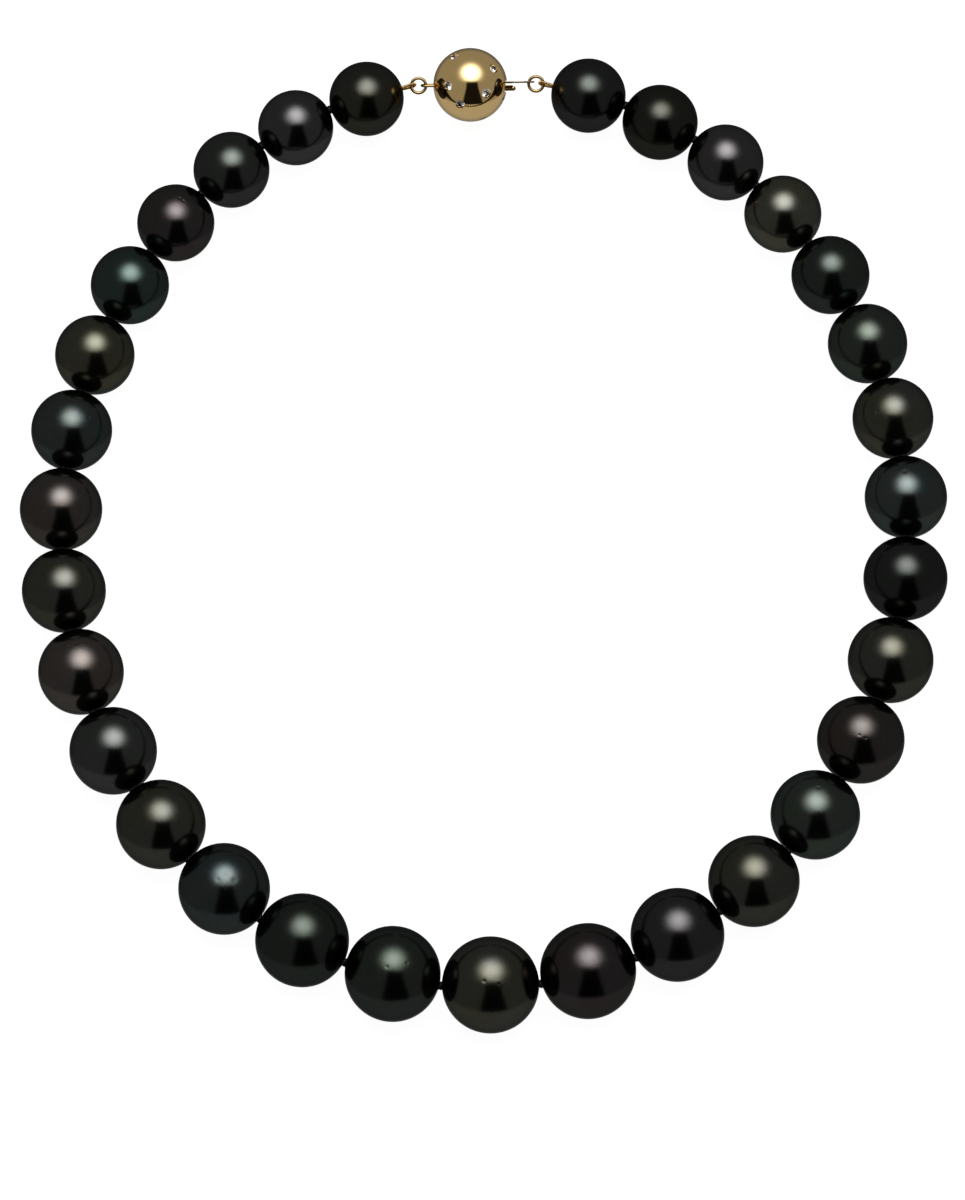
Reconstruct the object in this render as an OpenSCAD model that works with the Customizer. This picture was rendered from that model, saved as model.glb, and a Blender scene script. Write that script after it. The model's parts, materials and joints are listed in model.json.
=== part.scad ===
// Knotted pearl necklace with a stone-set ball clasp, fastened and lying flat.
// +Z is up. The clasp lies on the +Y side and the largest pearl on the -Y side.
// The strand is symmetric about the YZ plane, and every pearl rests on the ground.
// Origin: the bottom centre of the necklace's box. Lengths are in mm, angles in degrees.

/* [Pearls] */
// Diameter of the two smallest pearls, beside the clasp
end_pearl_d = 12.18; // [12.0:0.02:12.6]
// Part of the graduation that is spread evenly along a side, as a radius
even_taper = 0.84; // [0.6:0.02:1.0]
// Part of the graduation that is stronger towards the middle pearl, as a radius
early_taper = 0.97; // [0.7:0.01:1.2]
// Diameter of the drilled hole
bore_d = 1.0; // [0.9:0.05:1.1]
// Diameter of the hole's reamed mouth, where a knot nests
mouth_d = 1.9; // [1.7:0.05:2.1]

/* [Strand] */
// Clear gap between two pearls on a straight stretch
knot_gap = 0.35; // [0.35:0.05:0.6]
// Diameter of a silk knot
knot_d = 1.5; // [1.3:0.05:1.6]
// Length of a silk knot along the strand
knot_length = 0.70; // [0.6:0.02:0.72]
// Diameter of the doubled silk
thread_d = 0.6; // [0.5:0.02:0.62]
// Turn of the strand from pearl to pearl at the middle pearl
turn_middle = 16.92; // [16.8:0.02:17.0]
// Turn of the strand from pearl to pearl half way up a side
turn_side = 9.35; // [9.3:0.01:9.4]
// Turn of the strand from pearl to pearl beside the clasp
turn_clasp = 11.94; // [11.6:0.02:12.3]

/* [Loops and rings] */
// Diameter of the gimp, the coiled gold tube that covers the silk in the end loops
gimp_d = 0.5; // [0.45:0.01:0.52]
// Diameter of the hole in the gimp
gimp_bore_d = 0.26; // [0.22:0.01:0.28]
// Distance from the end pearl's surface to the jump ring's wire
gimp_reach = 1.5; // [1.4:0.05:1.6]
// Lean of the gimp loop out of the vertical, with the jump ring that it holds
gimp_tilt = 2; // [0:1:4]
// Radius of the wire loops' noses, to the middle of the wire
loop_r = 0.65; // [0.62:0.01:0.7]
// Radius of a jump ring, to the middle of its wire
ring_r = 1.2; // [1.15:0.05:1.3]
// Wire diameter of a jump ring
ring_wire_d = 0.5; // [0.4:0.02:0.5]

/* [Ball clasp] */
// Roll of the fastened clasp and its jump rings about the clasp's line
clasp_roll = 18; // [16:1:20]
// Outer diameter of the ball
ball_d = 12; // [11.8:0.1:12]
// Wall thickness of the ball
ball_wall = 0.8; // [0.7:0.05:0.9]
// Distance from the ball's centre to the left jump ring's centre
eye_reach = 8.4; // [8.3:0.1:8.6]
// Wire diameter of the fixed eye
eye_wire_d = 0.44; // [0.4:0.02:0.46]
// Lean of the fixed eye out of the clasp's own vertical
eye_tilt = 8; // [0:1:12]
// Girdle diameter of a stone
stone_d = 1.5; // [1.3:0.05:1.5]

/* [Tongue] */
// Width of the tongue's two leaves
leaf_width = 3.2; // [2.8:0.1:3.2]
// Thickness of the fixed leaf and of the fold
leaf_thickness = 0.25; // [0.2:0.01:0.26]
// Diameter of the thumb bar
thumb_d = 0.76; // [0.7:0.02:0.78]
// Diameter of the hole for the jump ring in the fixed leaf
plate_hole_d = 1.06; // [1.0:0.02:1.1]

/* [Hidden] */
// The turns above close the strand round the clasp with this many pearls on each side.
side_pearls = 15;
middle = side_pearls + 1;
pearl_count = 2 * side_pearls + 1;
round_fn = 96;
wire_fn = 48;
past = 1;            // how far a cut runs past the surface that it opens
fit = 0.02;          // gap of a seat round the piece that it holds

// Places on the strand: n counts pearls from the middle one, 0, to the end one, side_pearls.
// A pearl's hole leads from one knot to the next, and the two halves of each drop keep it level
// enough for every pearl to touch the ground.
function towards_middle(n) = 1 - n / side_pearls;
function tapered_r(n) =
    end_pearl_d / 2 + even_taper * towards_middle(n) + early_taper * pow(towards_middle(n), 2);
function half_drop(n) =
    n == 0 ? 0 : -(even_taper + 2 * early_taper * towards_middle(n)) / (2 * side_pearls);
function pearl_r(n) = n == 0 ? tapered_r(1) - half_drop(1) : tapered_r(n);
function reach(n) = pearl_r(n) + knot_gap / 2;
function pitch(n) = asin(half_drop(n) / reach(n));
function turn_at(t) =
    turn_middle * (1 - t) * (1 - 2 * t) + turn_side * 4 * t * (1 - t) + turn_clasp * t * (2 * t - 1);
function heading(n) = n == 0 ? 0 : heading(n - 1) + turn_at(n / side_pearls);
function aim(n) =
    [cos(heading(n)) * cos(pitch(n)), sin(heading(n)) * cos(pitch(n)), sin(pitch(n))];
function centre(n) = n == 0 ? [0, 0, pearl_r(0)] : knot(n - 1) + reach(n) * aim(n);
function knot(n) = centre(n) + reach(n) * aim(n);
function steps_from_middle(i) = abs(i - middle);
function side_of(i) = i < middle ? -1 : 1;

// Reamed mouth of a drilled hole: a cone that widens past the pearl's surface
mouth_depth = 0.31;
mouth_start = mouth_depth + 0.065;
mouth_slope = (mouth_d - bore_d) / 2 / mouth_depth;
mouth_length = mouth_start + 0.2;
gimp_seat_d = 1.2;   // the end pearls' outer hole, reamed wider for the gimp's two tails
gimp_seat_depth = 1.1;

// Where the end loops hold the jump rings, and where the clasp lies between the rings
gimp_nose = centre(side_pearls) + (pearl_r(side_pearls) + gimp_reach) * aim(side_pearls);
ring_x = gimp_nose[0] - ring_r;
clasp_y = gimp_nose[1];
clasp_z = gimp_nose[2];
clasp_x = eye_reach - ring_x;
tongue_reach = ring_x - clasp_x;
ball_r = ball_d / 2;
middle_y = (clasp_y + ball_r - pearl_r(0)) / 2;

// Teardrop loops: the lean of the tails towards each other, and the lengths of the tails
gimp_lean = 11.5;
gimp_tail = 1.81;
silk_tail = 3.1;
silk_loop_d = 0.2;
thread_end = 1.6;    // depth in the end pearl at which the doubled silk parts into the loop
eye_tail = 2.2;

// Clasp, seen in the ball's own frame: X along the clasp towards the tongue, Y outward and Z up
// before the clasp is rolled
slot_low = -1.3;
slot_high = 0.6;
slot_half_width = 1.8;
box_wall = 0.3;
box_back = -2.2;
fold_x = -1.3;
fold_y = 0.1;
fold_inner_r = 0.1;
fold_outer_r = fold_inner_r + leaf_thickness;
fold_gap = 0.05;
shoulder_x = 4.7;    // the catch's shoulder, just inside the ball's wall
shoulder_low = -1.0;
neck_low = -0.35;
neck_high = -0.15;
neck_end = 6.9;
plate_narrow_half = 0.6;
plate_eye_r = 0.95;
thumb_start = 5.35;
thumb_end = 7.0;
thumb_y = -0.68;

// A stone and its seat, along the line from the ball's centre outwards
girdle_below = 0.28;
girdle_height = 0.06;
pavilion_height = 0.62;
crown_height = 0.2;
table_r = 0.42;
seat_below = 0.45;
seat_hole_r = 0.57;

// Stones scattered over the ball's front half: [angle from the tongue's side, roll about the clasp].
// The back half has the same ones, turned half a turn about the clasp's line.
front_stones = [[116, 31], [50, 57], [128, 93], [64, 107], [107, 125], [27, 157], [70, 173]];
stones = concat(front_stones, [for (s = front_stones) [s[0], s[1] + 180]]);

gold = "#C9A14E";
soft_gold = "#D8B465";
silk = "#16140F";
overtones = ["#2E302C", "#24302C", "#30322B", "#362E2D", "#262E31"];

function two_digits(i) = str(i < 10 ? "0" : "", i);
function pearl_name(i) = str("pearl_", two_digits(i));
function stone_name(i) = str("diamond_", two_digits(i));

// Mirrors the children to the left side, where side is -1, and centres the whole necklace
module on_side(side) {
    translate([0, -middle_y, 0]) mirror([side < 0 ? 1 : 0, 0, 0]) children();
}

// Puts the children at a pearl's centre, with local +X along its hole, away from the middle pearl
module on_hole(n, side) {
    on_side(side) translate(centre(n)) rotate([0, -pitch(n), heading(n)]) children();
}

// Puts the children at the ball's centre, rolled with the clasp
module at_clasp() {
    translate([clasp_x, clasp_y - middle_y, clasp_z]) rotate([clasp_roll, 0, 0]) children();
}

// Turns local +Z to a stone's direction from the ball's centre
module on_ball(place) {
    rotate([place[1], 0, 0]) rotate([0, 0, place[0]]) rotate([0, 90, 0]) children();
}

module rod_x(length, d) {
    rotate([0, 90, 0]) cylinder(h = length, d = d, $fn = wire_fn);
}

// Cone that opens the hole's mouth where the hole leaves a pearl on its local +Z side
module drill_mouth(r) {
    translate([0, 0, r - mouth_start])
        cylinder(h = mouth_length, r1 = bore_d / 2, r2 = bore_d / 2 + mouth_length * mouth_slope,
                 $fn = round_fn);
}

// A pearl is drawn with its hole along local Z, through the sphere's poles
module pearl(i) {
    n = steps_from_middle(i);
    r = pearl_r(n);
    color(overtones[(i * 3) % len(overtones)])
        on_hole(n, side_of(i))
            rotate([0, 90, 0])
                difference() {
                    sphere(r = r, $fn = round_fn);
                    cylinder(h = 2 * (r + past), d = bore_d, center = true, $fn = wire_fn);
                    drill_mouth(r);
                    rotate([180, 0, 0]) drill_mouth(r);
                    if (n == side_pearls)
                        translate([0, 0, r - gimp_seat_depth])
                            cylinder(h = gimp_seat_depth + past, d = gimp_seat_d, $fn = wire_fn);
                }
}

// A wire that comes from the left, turns round the origin on loop_r and goes back,
// with tails that lean towards each other
module teardrop(d, lean, tail) {
    rotate([90, 0, 0]) {
        rotate([0, 0, -90 - lean])
            rotate_extrude(angle = 180 + 2 * lean, $fn = round_fn)
                translate([loop_r, 0]) circle(d = d, $fn = wire_fn);
        for (up = [0, 1])
            mirror([0, up, 0])
                rotate([0, 0, 90 + lean])
                    translate([loop_r, 0, 0])
                        rotate([-90, 0, 0]) cylinder(h = tail, d = d, $fn = wire_fn);
    }
}

module at_gimp_nose(side) {
    on_hole(side_pearls, side)
        translate([pearl_r(side_pearls) + gimp_reach, 0, 0]) rotate([gimp_tilt, 0, 0]) children();
}

module silk_knot(k, side) {
    edge_r = knot_length / 2;
    on_side(side)
        translate(knot(k))
            rotate([0, -(pitch(k) + pitch(k + 1)) / 2, (heading(k) + heading(k + 1)) / 2])
                rotate([0, 90, 0])
                    rotate_extrude($fn = wire_fn) {
                        translate([knot_d / 2 - edge_r, 0]) circle(r = edge_r, $fn = wire_fn);
                        translate([0, -edge_r]) square([knot_d / 2 - edge_r, knot_length]);
                    }
}

module silk_thread() {
    color(silk) {
        on_hole(0, 1) translate([-reach(0), 0, 0]) rod_x(2 * reach(0), thread_d);
        for (side = [-1, 1]) {
            for (n = [1 : side_pearls - 1])
                on_hole(n, side) translate([-reach(n), 0, 0]) rod_x(2 * reach(n), thread_d);
            on_hole(side_pearls, side)
                translate([-reach(side_pearls), 0, 0])
                    rod_x(reach(side_pearls) + pearl_r(side_pearls) - thread_end, thread_d);
            at_gimp_nose(side) teardrop(silk_loop_d, gimp_lean, silk_tail);
            for (k = [0 : side_pearls - 1])
                silk_knot(k, side);
        }
    }
}

module gimp_loop(side) {
    color(soft_gold)
        at_gimp_nose(side)
            difference() {
                teardrop(gimp_d, gimp_lean, gimp_tail);
                teardrop(gimp_bore_d, gimp_lean, gimp_tail + past);
            }
}

module jump_ring(side) {
    color(gold)
        on_side(side)
            translate([ring_x, clasp_y, clasp_z])
                rotate([clasp_roll, 0, 0])
                    rotate_extrude($fn = round_fn)
                        translate([ring_r, 0]) circle(d = ring_wire_d, $fn = wire_fn);
}

module eye_wire(d, tail) {
    translate([ring_r - eye_reach, 0, 0])
        rotate([eye_tilt, 0, 0]) mirror([1, 0, 0]) teardrop(d, 0, tail);
}

module stone_seat(place) {
    on_ball(place) {
        translate([0, 0, ball_r - seat_below])
            cylinder(h = seat_below + past, d = stone_d + 2 * fit, $fn = wire_fn);
        translate([0, 0, ball_r - ball_wall - past])
            cylinder(h = ball_wall + past, r = seat_hole_r, $fn = wire_fn);
    }
}

// Half of the hollow ball, on the tongue's side where side is 1 and on the eye's where it is -1.
// Both spheres are turned so that their first meridian lies in the half that is cut away.
module ball_shell(side) {
    first_meridian = side > 0 ? 180 : 0;
    color(gold)
        difference() {
            rotate([0, 0, first_meridian]) sphere(r = ball_r, $fn = round_fn);
            rotate([0, 0, first_meridian]) sphere(r = ball_r - ball_wall, $fn = round_fn);
            translate([side > 0 ? -ball_d : 0, -ball_d, -ball_d]) cube([ball_d, 2 * ball_d, 2 * ball_d]);
            for (place = stones)
                if (side * cos(place[0]) > 0)
                    stone_seat(place);
            children();
        }
}

module slot_cut(from_x, to_x, margin) {
    translate([from_x, slot_low - margin, -slot_half_width - margin])
        cube([to_x - from_x, slot_high - slot_low + 2 * margin, 2 * (slot_half_width + margin)]);
}

module ball_half_left() {
    at_clasp() ball_shell(-1) eye_wire(eye_wire_d + 2 * fit, eye_tail + past);
}

module ball_half_right() {
    at_clasp() ball_shell(1) slot_cut(ball_r - 2 * ball_wall, ball_d, 0);
}

module ball_eye() {
    color(gold) at_clasp() eye_wire(eye_wire_d, eye_tail);
}

module catch_box() {
    color(gold)
        at_clasp()
            difference() {
                intersection() {
                    slot_cut(box_back, ball_r, box_wall);
                    sphere(r = ball_r - ball_wall - fit, $fn = round_fn);
                }
                slot_cut(box_back + box_wall, ball_d, 0);
            }
}

module tongue_plate() {
    hole_x = tongue_reach - ring_r;
    color(gold)
        at_clasp()
            translate([0, fold_y + fold_outer_r, 0])
                rotate([90, 0, 0])
                    linear_extrude(leaf_thickness)
                        difference() {
                            union() {
                                translate([fold_x + fold_gap, -leaf_width / 2])
                                    square([neck_end - fold_x - fold_gap, leaf_width]);
                                translate([0, -plate_narrow_half])
                                    square([hole_x, 2 * plate_narrow_half]);
                                translate([hole_x, 0]) circle(r = plate_eye_r, $fn = wire_fn);
                            }
                            translate([hole_x, 0]) circle(d = plate_hole_d, $fn = wire_fn);
                        }
}

// The sprung leaf: a fold at the tongue's tip, a leaf that falls away from the plate,
// the catch's shoulder, and a neck that passes out through the slot
module tongue_spring() {
    color(soft_gold)
        at_clasp()
            translate([0, 0, -leaf_width / 2])
                linear_extrude(leaf_width) {
                    translate([fold_x, fold_y])
                        difference() {
                            circle(r = fold_outer_r, $fn = wire_fn);
                            circle(r = fold_inner_r, $fn = wire_fn);
                            translate([0, -past]) square(2 * past);
                        }
                    polygon([
                        [fold_x, fold_y - fold_outer_r],
                        [shoulder_x, shoulder_low],
                        [shoulder_x, neck_low],
                        [neck_end, neck_low],
                        [neck_end, neck_high],
                        [shoulder_x - leaf_thickness, neck_high],
                        [shoulder_x - leaf_thickness, shoulder_low + 1.1 * leaf_thickness],
                        [fold_x, fold_y - fold_inner_r]
                    ]);
                }
}

// A bar with a round end, soldered with a flat under the neck of the sprung leaf
module thumb_bar() {
    color(gold)
        at_clasp()
            difference() {
                union() {
                    translate([thumb_start, thumb_y, 0]) rod_x(thumb_end - thumb_start, thumb_d);
                    translate([thumb_end, thumb_y, 0]) sphere(d = thumb_d, $fn = wire_fn);
                }
                translate([thumb_start - past, neck_low, -past])
                    cube([thumb_end - thumb_start + 2 * past, past, 2 * past]);
            }
}

module diamond(i) {
    girdle_z = ball_r - girdle_below;
    color("#F2F5F7")
        at_clasp()
            on_ball(stones[i - 1]) {
                translate([0, 0, girdle_z - pavilion_height])
                    cylinder(h = pavilion_height, r1 = 0, r2 = stone_d / 2, $fn = wire_fn);
                translate([0, 0, girdle_z]) cylinder(h = girdle_height, d = stone_d, $fn = wire_fn);
                translate([0, 0, girdle_z + girdle_height])
                    cylinder(h = crown_height, r1 = stone_d / 2, r2 = table_r, $fn = wire_fn);
            }
}

for (i = [1 : pearl_count])
    pearl(i);
silk_thread();
gimp_loop(-1);  // gimp_loop_left
gimp_loop(1);  // gimp_loop_right
jump_ring(-1);  // jump_ring_left
jump_ring(1);  // jump_ring_right
ball_half_left();
ball_half_right();
ball_eye();
catch_box();
tongue_plate();
tongue_spring();
thumb_bar();
for (i = [1 : len(stones)])
    diamond(i);
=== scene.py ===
"""Looks of a black pearl necklace: 31 graduated pearls knotted on silk, with a jewelled gold
ball clasp."""

import json
import math

import bmesh
import bpy
import numpy as np
from mathutils import Matrix, Vector, noise


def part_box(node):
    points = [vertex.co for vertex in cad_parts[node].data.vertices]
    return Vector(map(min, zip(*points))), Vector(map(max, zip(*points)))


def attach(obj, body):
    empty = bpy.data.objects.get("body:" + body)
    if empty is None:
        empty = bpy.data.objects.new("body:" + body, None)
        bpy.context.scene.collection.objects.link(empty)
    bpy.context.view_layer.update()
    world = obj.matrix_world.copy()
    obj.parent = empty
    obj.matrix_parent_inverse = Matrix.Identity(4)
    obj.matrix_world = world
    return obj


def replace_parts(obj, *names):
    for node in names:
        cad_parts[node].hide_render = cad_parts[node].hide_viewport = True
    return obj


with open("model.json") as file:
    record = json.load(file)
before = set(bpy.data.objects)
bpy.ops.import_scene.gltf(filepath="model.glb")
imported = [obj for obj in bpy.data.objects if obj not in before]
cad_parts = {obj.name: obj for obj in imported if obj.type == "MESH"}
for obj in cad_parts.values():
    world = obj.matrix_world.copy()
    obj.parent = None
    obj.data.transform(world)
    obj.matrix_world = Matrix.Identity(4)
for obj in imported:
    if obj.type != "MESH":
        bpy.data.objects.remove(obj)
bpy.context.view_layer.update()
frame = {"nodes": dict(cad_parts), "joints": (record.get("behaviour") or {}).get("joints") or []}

MM = 0.001
PEARLS = 31
MIDDLE = 16
CLASP_ROLL = math.radians(18)     # of the fastened clasp and its jump rings about the clasp's line
VIEW_TILT = math.radians(18)      # of the camera off the vertical, towards the middle pearl
X, Y, Z = Vector((1, 0, 0)), Vector((0, 1, 0)), Vector((0, 0, 1))
JOINTS = {j["name"]: j for j in frame["joints"]}


# ---------------------------------------------------------------- places, read from the frame

def pearl_name(i):
    return f"pearl_{i:02d}"


def joint_point(name):
    return Vector(JOINTS[name]["pos_m"])


def knot_point(a):
    """Middle of the silk knot between pearl a and pearl a + 1."""
    both = f"{a:02d}_{a + 1:02d}"
    name = f"knot_{both}" if f"knot_{both}" in JOINTS else f"open_knot_{both}"
    return joint_point(name)


def pearl_centre(i):
    low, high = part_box(pearl_name(i))
    return (low + high) / 2


def pearl_radius(i):
    low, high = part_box(pearl_name(i))
    return (high.z - low.z) / 2


def outward(i):
    """Direction of pearl i's hole, away from the middle pearl."""
    centre = pearl_centre(i)
    if i == MIDDLE:
        return (knot_point(MIDDLE) - knot_point(MIDDLE - 1)).normalized()
    inner = knot_point(i) if i < MIDDLE else knot_point(i - 1)
    return (centre - inner).normalized()


def frame_of(origin, direction, up=Z):
    """Matrix at origin with local +Z along direction and local +Y as near up as it can be."""
    z = direction.normalized()
    x = up.cross(z).normalized()
    y = z.cross(x)
    turn = Matrix((x, y, z)).transposed().to_4x4()
    return Matrix.Translation(origin) @ turn


def clasp_centre():
    low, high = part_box("ball_half_left")
    return Vector((high.x, (low.y + high.y) / 2, (low.z + high.z) / 2))


def clasp_place():
    """Matrix at the ball's centre: X along the clasp, Y outward and Z up, rolled with the clasp."""
    return Matrix.Translation(clasp_centre()) @ Matrix.Rotation(CLASP_ROLL, 4, "X")


# ---------------------------------------------------------------- mesh code

def piece(name, verts, faces, body, material):
    """A smooth mesh object of this shape, already in place, that rides on a CAD body."""
    mesh = bpy.data.meshes.new(name)
    mesh.from_pydata([tuple(v) for v in verts], [], [tuple(f) for f in faces])
    mesh.validate()
    mesh.shade_smooth()
    return placed(name, mesh, body, material)


def placed(name, mesh, body, material, at=Matrix.Identity(4)):
    """An object of this mesh, put where at says, that rides on a CAD body."""
    mesh.materials.clear()
    mesh.materials.append(material)
    obj = bpy.data.objects.new(name, mesh)
    bpy.context.scene.collection.objects.link(obj)
    obj.matrix_world = at
    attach(obj, body)
    return obj


def revolved(profile, segments):
    """Vertices and faces of a closed profile of (radius, z) points turned about Z."""
    n = len(profile)
    verts = []
    for s in range(segments):
        a = 2 * math.pi * s / segments
        verts += [(r * math.cos(a), r * math.sin(a), z) for r, z in profile]
    faces = []
    for s in range(segments):
        t = (s + 1) % segments
        for k in range(n):
            m = (k + 1) % n
            faces.append((s * n + k, t * n + k, t * n + m, s * n + m))
    return verts, faces


def tube(points, radius, sides, closed=False):
    """A round tube along the points. radius is one number or one for each point."""
    points = [Vector(p) for p in points]
    n = len(points)
    radii = radius if hasattr(radius, "__len__") else [radius] * n
    tangents = []
    for k in range(n):
        if closed:
            t = points[(k + 1) % n] - points[k - 1]
        else:
            t = points[min(k + 1, n - 1)] - points[max(k - 1, 0)]
        tangents.append(t.normalized())
    normal = tangents[0].orthogonal().normalized()
    verts = []
    for k in range(n):
        normal = (normal - tangents[k] * normal.dot(tangents[k])).normalized()
        side = tangents[k].cross(normal)
        for s in range(sides):
            a = 2 * math.pi * s / sides
            verts.append(points[k] + radii[k] * (normal * math.cos(a) + side * math.sin(a)))
    faces = []
    for k in range(n if closed else n - 1):
        m = (k + 1) % n
        for s in range(sides):
            t = (s + 1) % sides
            faces.append((k * sides + s, k * sides + t, m * sides + t, m * sides + s))
    if not closed:
        faces.append(tuple(reversed(range(sides))))
        faces.append(tuple((n - 1) * sides + s for s in range(sides)))
    return verts, faces


def joined(*parts):
    """Several (verts, faces) as one."""
    verts, faces = [], []
    for v, f in parts:
        base = len(verts)
        verts += [Vector(p) for p in v]
        faces += [tuple(k + base for k in face) for face in f]
    return verts, faces


def turned(part, matrix):
    verts, faces = part
    return [matrix @ Vector(v) for v in verts], faces


def extruded(outline, thickness):
    """A plate with this XY outline, from z 0 to its thickness."""
    n = len(outline)
    verts = [(x, y, 0) for x, y in outline] + [(x, y, thickness) for x, y in outline]
    faces = [tuple(reversed(range(n))), tuple(range(n, 2 * n))]
    faces += [(k, (k + 1) % n, n + (k + 1) % n, n + k) for k in range(n)]
    return verts, faces


# ---------------------------------------------------------------- material code

class Nodes:
    """Short calls to add nodes to a material or world and link them."""

    def __init__(self, tree):
        self.tree = tree
        tree.nodes.clear()

    def add(self, kind, **settings):
        node = self.tree.nodes.new(kind)
        for key, value in settings.items():
            setattr(node, key, value)
        return node

    def link(self, source, target):
        self.tree.links.new(source, target)

    def put(self, value, socket):
        if isinstance(value, bpy.types.NodeSocket):
            self.link(value, socket)
        else:
            socket.default_value = value

    def math(self, operation, a, b=0.0):
        node = self.add("ShaderNodeMath", operation=operation)
        self.put(a, node.inputs[0])
        self.put(b, node.inputs[1])
        return node.outputs[0]

    def ramp(self, value, low, high, out_low=0.0, out_high=1.0):
        """Smooth step of a value from low to high."""
        node = self.add("ShaderNodeMapRange", interpolation_type="SMOOTHSTEP", clamp=True)
        self.put(value, node.inputs["Value"])
        for key, number in zip(("From Min", "From Max", "To Min", "To Max"),
                               (low, high, out_low, out_high)):
            self.put(number, node.inputs[key])
        return node.outputs["Result"]

    def mix(self, share, a, b):
        node = self.add("ShaderNodeMix", data_type="RGBA")
        self.put(share, node.inputs["Factor"])
        self.put(a, node.inputs[6])
        self.put(b, node.inputs[7])
        return node.outputs[2]

    def place(self, scale=1.0, shift=(0, 0, 0), stretch=(1, 1, 1)):
        """Object coordinates in millimetres, moved and stretched."""
        coordinates = self.add("ShaderNodeTexCoord")
        mapping = self.add("ShaderNodeMapping")
        self.link(coordinates.outputs["Object"], mapping.inputs["Vector"])
        mapping.inputs["Scale"].default_value = [scale * s / MM for s in stretch]
        mapping.inputs["Location"].default_value = shift
        return mapping.outputs["Vector"]

    def noise(self, where, scale, detail=3.0, roughness=0.5, distortion=0.0):
        node = self.add("ShaderNodeTexNoise")
        self.link(where, node.inputs["Vector"])
        for key, value in (("Scale", scale), ("Detail", detail), ("Roughness", roughness),
                           ("Distortion", distortion)):
            node.inputs[key].default_value = value
        return node.outputs["Fac"]

    def bump(self, height, strength, distance, under=None):
        node = self.add("ShaderNodeBump")
        node.inputs["Strength"].default_value = strength
        node.inputs["Distance"].default_value = distance
        self.link(height, node.inputs["Height"])
        if under is not None:
            self.link(under, node.inputs["Normal"])
        return node.outputs["Normal"]


def new_material(name):
    material = bpy.data.materials.new(name)
    material.use_nodes = True
    nodes = Nodes(material.node_tree)
    shader = nodes.add("ShaderNodeBsdfPrincipled")
    out = nodes.add("ShaderNodeOutputMaterial")
    nodes.link(shader.outputs["BSDF"], out.inputs["Surface"])
    return material, nodes, shader


def grey(x):
    return (x, x, x, 1.0)


# Material slot, and the colours of the reflection at the middle, in patches and at the rim
TONES = {
    "olive": ("pearl_olive", (0.985, 1.0, 0.90), (1.0, 0.99, 0.80), (0.90, 1.0, 0.86)),
    "bronze": ("pearl_olive", (0.975, 1.0, 0.78), (1.0, 0.95, 0.70), (0.82, 1.0, 0.88)),
    "black": ("pearl_green", (0.95, 1.0, 0.97), (0.90, 1.0, 0.92), (0.95, 0.98, 1.0)),
    "neutral": ("pearl_blue", (0.99, 0.99, 1.0), (1.0, 0.95, 0.98), (0.93, 0.97, 1.0)),
    "green": ("pearl_green", (0.87, 1.0, 0.92), (0.84, 1.0, 0.82), (0.80, 1.0, 0.98)),
    "teal": ("pearl_peacock", (0.75, 1.0, 0.92), (0.70, 1.0, 0.98), (0.84, 1.0, 0.84)),
    "blue": ("pearl_blue", (0.87, 1.0, 0.95), (0.80, 0.98, 1.0), (0.88, 1.0, 0.90)),
    "aubergine": ("pearl_aubergine", (1.0, 0.91, 0.92), (1.0, 0.84, 0.86), (0.92, 1.0, 0.90)),
    "rose": ("pearl_aubergine", (1.0, 0.92, 0.88), (1.0, 0.86, 0.80), (0.92, 1.0, 0.88)),
}
# Each pearl from the clasp's ball round to its tongue: its tone and how strong its gloss is
PEARL_LOOKS = """olive 0.80, neutral 1.10, black 0.92, aubergine 0.92, teal 1.02, bronze 1.20,
    blue 1.04, rose 1.18, olive 1.05, rose 1.30, black 1.04, olive 1.03, blue 0.95, green 0.72,
    green 0.82, olive 1.08, aubergine 0.84, neutral 0.82, olive 1.00, green 1.06, rose 0.90,
    olive 1.04, black 0.64, blue 1.12, olive 1.12, green 1.00, green 0.82, olive 1.40,
    neutral 1.10, olive 0.62, black 0.72"""
LOOKS = {i + 1: (words.split()[0], float(words.split()[1]))
         for i, words in enumerate(PEARL_LOOKS.split(","))}
REFLECTANCE = 0.085     # of nacre seen face on
RIM_TINT = 0.55         # of its reflection towards the rim
NACRE_ROUGHNESS = 0.14
UNEVEN_GLOSS = 0.05     # how far clouds and fine grain each roughen it


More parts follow.
